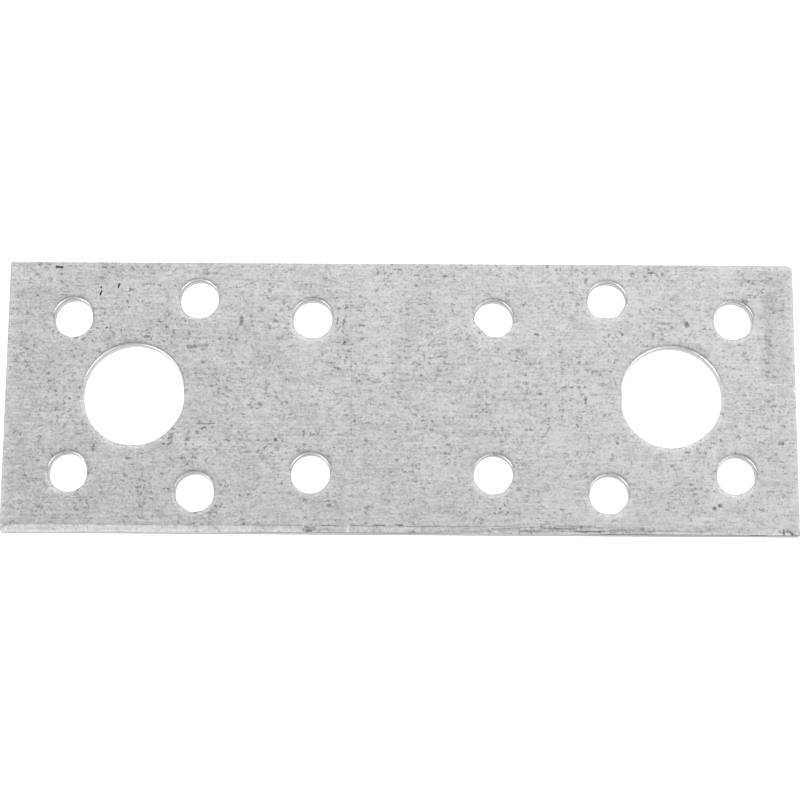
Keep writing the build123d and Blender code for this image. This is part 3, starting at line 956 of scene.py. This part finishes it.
# painted highlight: the hole shoulders turn almost white
base = N.mix(a_painted_highlight, base, (0.95, 0.955, 0.95, 1))
base = N.mix(a_wall, base, cut)
# painted shade: the dark band round the top of each hole's wall
base = N.mix(N.mul(a_wall_shade, 0.9), base, (0.27, 0.275, 0.275, 1))

# ---- roughness and relief ----
rough = N.total(0.40, centred(fine, 0.16), centred(grain_a, 0.10), N.mul(dark, 0.35), N.mul(marks, 0.25), N.mul(a_lip, -0.06), N.mul(a_frac, 0.22))
height = N.total(N.mul(fine, 0.0016), N.mul(grain_b, 0.0016), N.mul(dark, -0.004), N.mul(mottle, 0.0012))

bump = N.new("ShaderNodeBump")
bump.inputs["Strength"].default_value = 1.0
bump.inputs["Distance"].default_value = 0.001
N.put(bump.inputs["Height"], height)

bsdf = N.new("ShaderNodeBsdfPrincipled")
N.put(bsdf.inputs["Base Color"], base)
bsdf.inputs["Metallic"].default_value = 1.0
N.put(bsdf.inputs["Roughness"], rough)
N.put(bsdf.inputs["Normal"], bump.outputs[0])
out = N.new("ShaderNodeOutputMaterial")
N.put(out.inputs[0], bsdf.outputs[0])
mesh.materials.append(mat)

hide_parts("plate")
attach(plate, "root")

# ================= floor, light and camera =================
floor_mesh = bpy.data.meshes.new("floor")
S = 2.5
floor_mesh.from_pydata([(-S, -S, -0.00003), (S, -S, -0.00003), (S, S, -0.00003), (-S, S, -0.00003)], [], [(0, 1, 2, 3)])
floor = bpy.data.objects.new("floor", floor_mesh)
bpy.context.scene.collection.objects.link(floor)
fm = bpy.data.materials.new("pale_floor")
fm.use_nodes = True
F = Net(fm.node_tree)
fb = F.new("ShaderNodeBsdfPrincipled")
fb.inputs["Base Color"].default_value = (0.93, 0.93, 0.93, 1)
fb.inputs["Roughness"].default_value = 0.9
fb.inputs["Emission Color"].default_value = (1, 1, 1, 1)
fb.inputs["Emission Strength"].default_value = 0.75
fo = F.new("ShaderNodeOutputMaterial")
F.put(fo.inputs[0], fb.outputs[0])
floor_mesh.materials.append(fm)


def softbox(name, azimuth, elevation, distance, size_x, size_y, radiance, colour=(1, 1, 1)):
    """A softbox that faces the plate. Azimuth 0 is on the -Y side, 90 on the +X side."""
    a, e = math.radians(azimuth), math.radians(elevation)
    at = Vector((math.sin(a) * math.cos(e), -math.cos(a) * math.cos(e), math.sin(e))) * distance
    lamp = bpy.data.lights.new(name, "AREA")
    lamp.shape = "RECTANGLE"
    lamp.size, lamp.size_y = size_x, size_y
    lamp.energy = radiance * math.pi * size_x * size_y
    lamp.color = colour
    o = bpy.data.objects.new(name, lamp)
    bpy.context.scene.collection.objects.link(o)
    o.location = at
    o.rotation_mode = "QUATERNION"
    o.rotation_quaternion = (-at).to_track_quat("-Z", "Y")
    o.visible_camera = False
    return o


softbox("overhead", 180, 62, 1.3, 1.7, 1.1, 0.70)
softbox("front_left", -52, 18, 1.2, 0.9, 0.6, 1.5)
softbox("front_right", 58, 20, 1.2, 0.8, 0.6, 0.95)

world = bpy.data.worlds.new("studio")
world.use_nodes = True
bpy.context.scene.world = world
W = Net(world.node_tree)
dx_, dy_, dz_ = W.split(W.new("ShaderNodeTexCoord").outputs["Generated"])
horizon = W.ramp(W.math("ABSOLUTE", dz_), 0.80, 0.36)
front = W.mul(W.ramp(dy_, -0.30, -0.75), W.ramp(W.math("ABSOLUTE", dx_), 0.55, 0.28))
# the dim patch above the plate where the photographer stands
toward = W.total(W.mul(dy_, -0.225), W.mul(dz_, 0.974))
patch = W.ramp(toward, 0.950, 0.993)
lift = W.mul(W.ramp(dy_, -0.28, -0.56), W.sub(1.0, horizon))
low = W.mul(W.ramp(W.math("ABSOLUTE", dz_), 0.30, 0.15), W.ramp(dx_, -0.30, -0.80))
glow = W.total(0.62, W.mul(low, 0.17), W.mul(lift, 0.40), W.mul(dx_, 0.14), W.mul(W.mul(horizon, 0.44), W.sub(1.0, W.mul(front, 0.8))), W.mul(patch, -0.30))
bg = W.new("ShaderNodeBackground")
W.put(bg.inputs["Color"], W.xyz(glow, glow, glow))
bg.inputs["Strength"].default_value = 1.0
wo = W.new("ShaderNodeOutputWorld")
W.put(wo.inputs[0], bg.outputs[0])

cam_data = bpy.data.cameras.new("camera")
cam_data.sensor_width = 36.0
cam_data.lens = 99.0
cam_data.clip_start, cam_data.clip_end = 0.01, 20.0
cam = bpy.data.objects.new("camera", cam_data)
bpy.context.scene.collection.objects.link(cam)
rx, ry, rz = (math.radians(v) for v in (-11.808, -0.453, -0.325))
to_cam = Matrix.Rotation(rz, 3, "Z") @ Matrix.Rotation(ry, 3, "Y") @ Matrix.Rotation(rx, 3, "X")
cam.matrix_world = Matrix.Translation(Vector((1.898, -57.388, 274.00)) * 0.001) @ to_cam.transposed().to_4x4()
bpy.context.scene.camera = cam
bpy.context.scene.view_settings.view_transform = "Standard"
